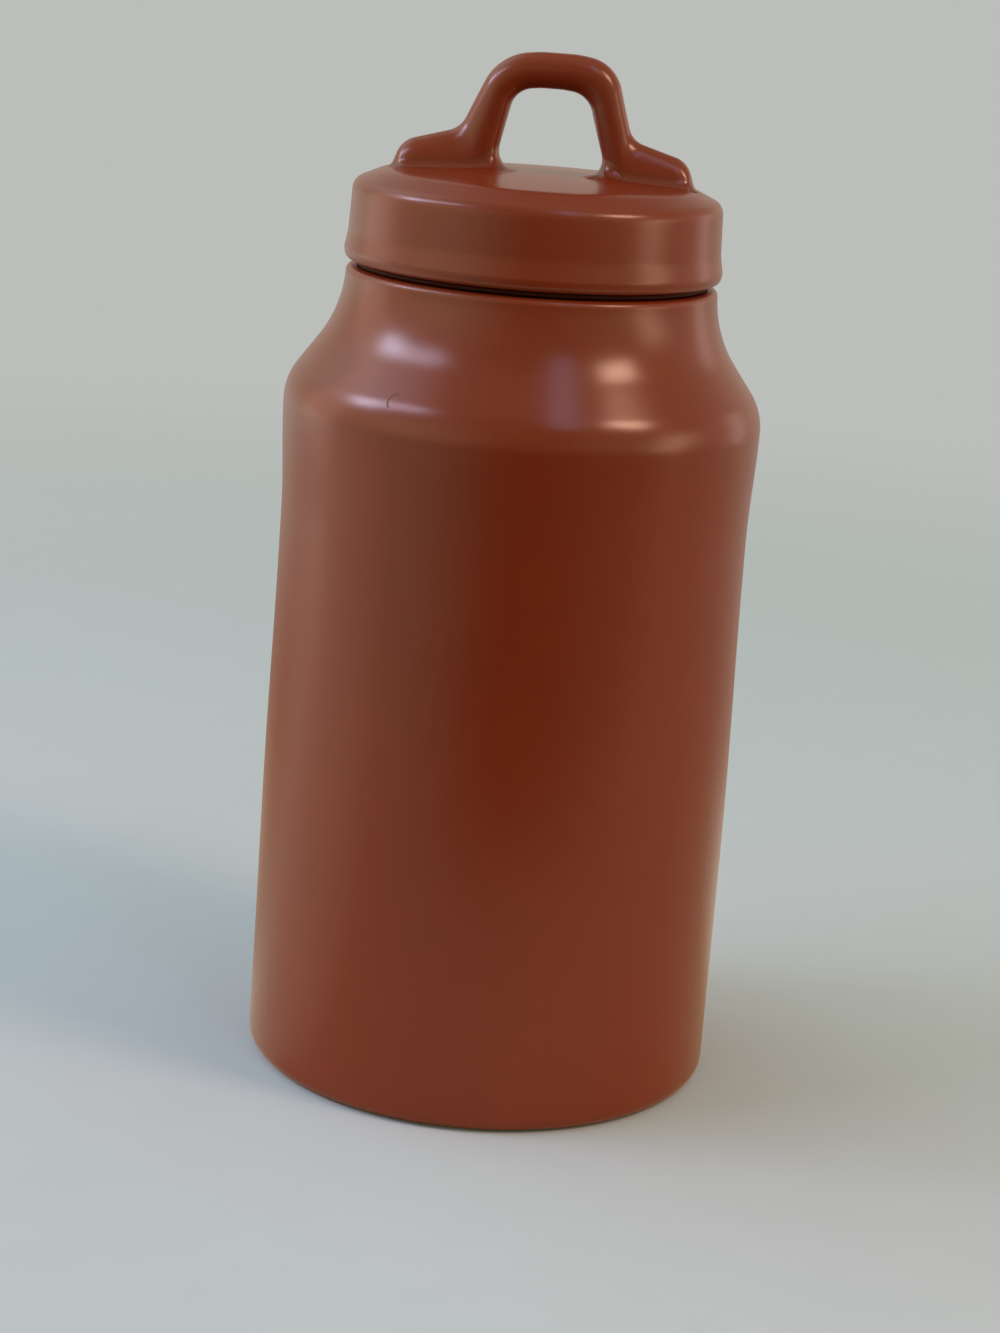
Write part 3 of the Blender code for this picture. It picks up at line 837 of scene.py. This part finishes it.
# Two fans of the floor that send the jar more light: one colour on its left, and behind it on the right one
# lift that multiplies the colour there
FAN_SPAN = (0.80, 0.98)          # each begins and is full at these cosines of the angle from its middle
FAN_LEFT = (0.95, 0.92, 0.78)
FAN_LEFT_AZIMUTH = -90.0
FAN_LIFT = (1.33, 1.36, 1.50)
FAN_LIFT_AZIMUTH = 150.0
NO_LIFT = (1.0, 1.0, 1.0)

LAMP_DISTANCE = 1.3
LAMP_POWER = 4.0                 # watts a square metre that make a lamp's face as bright as 1
AIM_HEIGHT = 0.15

# Room light at azimuths -180, -120, -60, 0, 60, 120 and 180, below the horizon, low and high, then overhead
ROOM_GROUND = (
    (0.50, 0.42, 0.42), (0.76, 1.00, 0.85), (0.30, 0.62, 0.46), (0.03, 0.03, 0.03), (0.06, 0.20, 0.12),
    (0.56, 0.55, 0.38), (0.50, 0.42, 0.42),
)
ROOM_LOW = (
    (0.57, 0.49, 0.41), (0.63, 0.75, 0.59), (1.36, 1.21, 0.80), (0.40, 0.27, 0.16), (0.52, 0.68, 0.40),
    (0.74, 0.64, 0.47), (0.57, 0.49, 0.41),
)
ROOM_HIGH = (
    (0.20, 0.17, 0.14), (1.09, 1.45, 1.36), (0.36, 0.52, 0.42), (0.18, 0.30, 0.16), (0.27, 0.32, 0.12),
    (0.45, 0.47, 0.33), (0.20, 0.17, 0.14),
)
ROOM_TOP = (0.32, 0.50, 0.34)

# Sines of the elevations between which each of these turns into the next
GROUND_TO_LOW = (-0.12, 0.05)
LOW_TO_HIGH = (0.17, 0.70)
HIGH_TO_TOP = (0.75, 0.97)


def turned_to_camera(azimuth, elevation=0.0):
    """The direction at an azimuth from the camera's side of the jar and an elevation, both in degrees."""
    around = math.radians(azimuth) + CAMERA_TURN
    up = math.radians(elevation)
    return Vector((math.sin(around) * math.cos(up), -math.cos(around) * math.cos(up), math.sin(up)))


def floor_colour(recipe, place):
    """The floor's colour: pale with a faint mottle to the camera, and a coloured bounce to other rays.

    The bounce goes from the colour behind to the one ahead, and close by to the near one. The left fan has
    its own colour, and the right one multiplies what is there by its lift.
    """
    mottle = recipe.noise(place, FLOOR_MOTTLE_SIZE, detail=4.0)
    seen = recipe.mix(mottle, *(shade(FLOOR_SEEN, factor) for factor in FLOOR_SHADES))
    away = recipe.distance(place, ORIGIN)
    ahead = recipe.along(place, turned_to_camera(0.0))
    bounce = recipe.mix(recipe.between(ahead, *FLOOR_AHEAD_SPAN), FLOOR_BEHIND, FLOOR_AHEAD)
    bounce = recipe.mix(recipe.between(away, *FLOOR_NEAR_SPAN), FLOOR_NEAR, bounce)
    way = recipe.add("ShaderNodeVectorMath", {"operation": "NORMALIZE"}, {0: place})
    left = recipe.between(recipe.along(way, turned_to_camera(FAN_LEFT_AZIMUTH)), *FAN_SPAN)
    bounce = recipe.mix(left, bounce, FAN_LEFT)
    right = recipe.between(recipe.along(way, turned_to_camera(FAN_LIFT_AZIMUTH)), *FAN_SPAN)
    bounce = recipe.vectors("MULTIPLY", bounce, recipe.mix(right, NO_LIFT, FAN_LIFT))
    camera_ray = recipe.add("ShaderNodeLightPath", output="Is Camera Ray")
    return recipe.mix(camera_ray, bounce, seen)


def add_floor():
    """A pale disc under the jar, which fades out into the background.

    Its rings' radii are its own radius times a power of their share of the count.
    """
    share = np.linspace(0.0, 1.0, FLOOR_RINGS + 1)[1:, None]
    radius = FLOOR_RADIUS * share ** FLOOR_GROWTH
    angle = np.arange(FLOOR_SIDES) * math.tau / FLOOR_SIDES
    level = np.full((FLOOR_RINGS, FLOOR_SIDES), -FLOOR_DROP)
    rings = np.stack([radius * np.cos(angle), radius * np.sin(angle), level], -1)
    count = FLOOR_RINGS * FLOOR_SIDES
    index = np.arange(count).reshape(FLOOR_RINGS, FLOOR_SIDES)
    onward = np.roll(index, -1, 1)
    quads = np.stack([index[:-1], index[1:], onward[1:], onward[:-1]], -1)
    fan = np.stack([np.full(FLOOR_SIDES, count), index[0], onward[0]], -1)
    points = np.concatenate([rings.reshape(-1, 3), [[0.0, 0.0, -FLOOR_DROP]]])
    mesh = bpy.data.meshes.new("floor")
    mesh.from_pydata(points.tolist(), [], quads.reshape(-1, 4).tolist() + fan.tolist())
    recipe = Recipe(bpy.data.materials.new("floor_matt"))
    place = recipe.place()
    outward = recipe.between(recipe.distance(place, ORIGIN), FLOOR_FULL, FLOOR_RADIUS - FLOOR_MARGIN)
    forward = recipe.between(recipe.along(place, turned_to_camera(0.0)), *FLOOR_FRONT)
    matt = recipe.add("ShaderNodeBsdfPrincipled", sockets={
        "Base Color": floor_colour(recipe, place), "Roughness": FLOOR_ROUGHNESS,
        "Specular IOR Level": FLOOR_SHINE,
    })
    clear = recipe.add("ShaderNodeBsdfTransparent")
    sockets = {0: recipe.maths("MAXIMUM", outward, forward), 1: matt, 2: clear}
    mesh.materials.append(recipe.surface(recipe.add("ShaderNodeMixShader", sockets=sockets)))
    floor = bpy.data.objects.new("floor", mesh)
    bpy.context.scene.collection.objects.link(floor)


def add_world():
    """Room light that changes with azimuth, low down and high up. The camera sees one pale tone instead."""
    recipe = Recipe(bpy.data.worlds.new("room"))
    bpy.context.scene.world = recipe.owner
    ray = recipe.add("ShaderNodeTexCoord", output="Generated")
    ahead = recipe.along(ray, turned_to_camera(0.0))
    right = recipe.along(ray, turned_to_camera(90.0))
    around = recipe.maths("ARCTAN2", right, ahead) / math.tau + 0.5
    ground, low, high = (
        recipe.add("ShaderNodeValToRGB", {"stops": band}, {0: around})
        for band in (ROOM_GROUND, ROOM_LOW, ROOM_HIGH)
    )
    up = recipe.add("ShaderNodeSeparateXYZ", sockets={0: ray}, output="Z")
    room = recipe.mix(recipe.between(up, *GROUND_TO_LOW), ground, low)
    room = recipe.mix(recipe.between(up, *LOW_TO_HIGH), room, high)
    room = recipe.mix(recipe.between(up, *HIGH_TO_TOP), room, ROOM_TOP)
    camera_ray = recipe.add("ShaderNodeLightPath", output="Is Camera Ray")
    tone = recipe.mix(camera_ray, room, PALE)
    light = recipe.add("ShaderNodeBackground", sockets={"Color": tone, "Strength": 1.0})
    recipe.add("ShaderNodeOutputWorld", sockets={"Surface": light})


# Lamps: name, azimuth, elevation, width, height and tilt in degrees, colour of their light
LAMPS = (
    ("window", -78.0, 36.8, 37.0, 10.5, 27.0, (4.7, 4.2, 5.5)),
    ("pane", -87.0, 30.0, 12.0, 12.0, 15.0, (3.0, 3.5, 5.2)),
    ("curtain", -105.6, 14.0, 26.0, 53.0, -17.0, (0.85, 0.52, 0.42)),
    ("lamp", 62.0, 43.0, 15.6, 13.0, -30.0, (14.0, 8.4, 6.0)),
    ("doorway", 76.0, 9.0, 14.0, 22.0, -33.0, (1.9, 1.1, 0.75)),
    ("passage", 77.0, 9.0, 26.0, 34.0, -33.0, (0.6, 0.37, 0.26)),
    ("skylight", 26.0, 52.7, 10.0, 29.0, -12.0, (0.95, 1.1, 1.75)),
    ("hall", 125.0, 6.6, 13.0, 24.0, -12.0, (0.73, 0.54, 0.52)),
)


def add_lamps():
    """Soft rectangular lamps, each as wide and high as it looks from the jar and facing it."""
    for name, azimuth, elevation, width, height, tilt, colour in LAMPS:
        data = bpy.data.lights.new(name, "AREA")
        data.shape = "RECTANGLE"
        data.size = 2 * LAMP_DISTANCE * math.tan(math.radians(width) / 2)
        data.size_y = 2 * LAMP_DISTANCE * math.tan(math.radians(height) / 2)
        data.color = shade(colour, 1 / max(colour))
        data.energy = max(colour) * LAMP_POWER * data.size * data.size_y
        lamp = bpy.data.objects.new(name, data)
        away = turned_to_camera(azimuth, elevation)
        lamp.location = away * LAMP_DISTANCE + Vector((0.0, 0.0, AIM_HEIGHT))
        turn = away.to_track_quat("Z", "Y").to_matrix() @ Matrix.Rotation(math.radians(tilt), 3, "Z")
        lamp.rotation_euler = turn.to_euler()
        lamp.visible_camera = False
        bpy.context.scene.collection.objects.link(lamp)


def add_camera():
    """The photograph's camera: back from the jar and up, pitched down at it, and rolled a little."""
    data = bpy.data.cameras.new("camera")
    data.lens = CAMERA_LENS
    camera = bpy.data.objects.new("camera", data)
    camera.matrix_world = (
        Matrix.Rotation(CAMERA_TURN, 4, "Z")
        @ Matrix.Translation((0.0, -CAMERA_DISTANCE, CAMERA_HEIGHT))
        @ Matrix.Rotation(CAMERA_YAW, 4, "Z")
        @ Matrix.Rotation(math.pi / 2 - CAMERA_PITCH, 4, "X")
        @ Matrix.Rotation(CAMERA_ROLL, 4, "Z")
    )
    bpy.context.scene.collection.objects.link(camera)
    bpy.context.scene.camera = camera


make_piece(
    "jar_skin", turned(jar_line(), JAR_SIDES, cast_swell), "jar", "canister_body",
    glaze("jar_glaze", jar=True),
)
make_piece("cap_skin", turned(cap_line(), LID_SIDES), "lid", "lid_cap", glaze("cap_glaze"))
make_piece("loop_skin", onto_lid(strap()), "lid", "lid_handle", glaze("loop_glaze"))
make_piece(
    "seal_skin", turned(seal_line(), RING_SIDES), "seal", "lid_gasket",
    silicone("seal_silicone"), loop=True,
)
add_floor()
add_world()
add_lamps()
add_camera()
bpy.context.scene.view_settings.view_transform = "Standard"
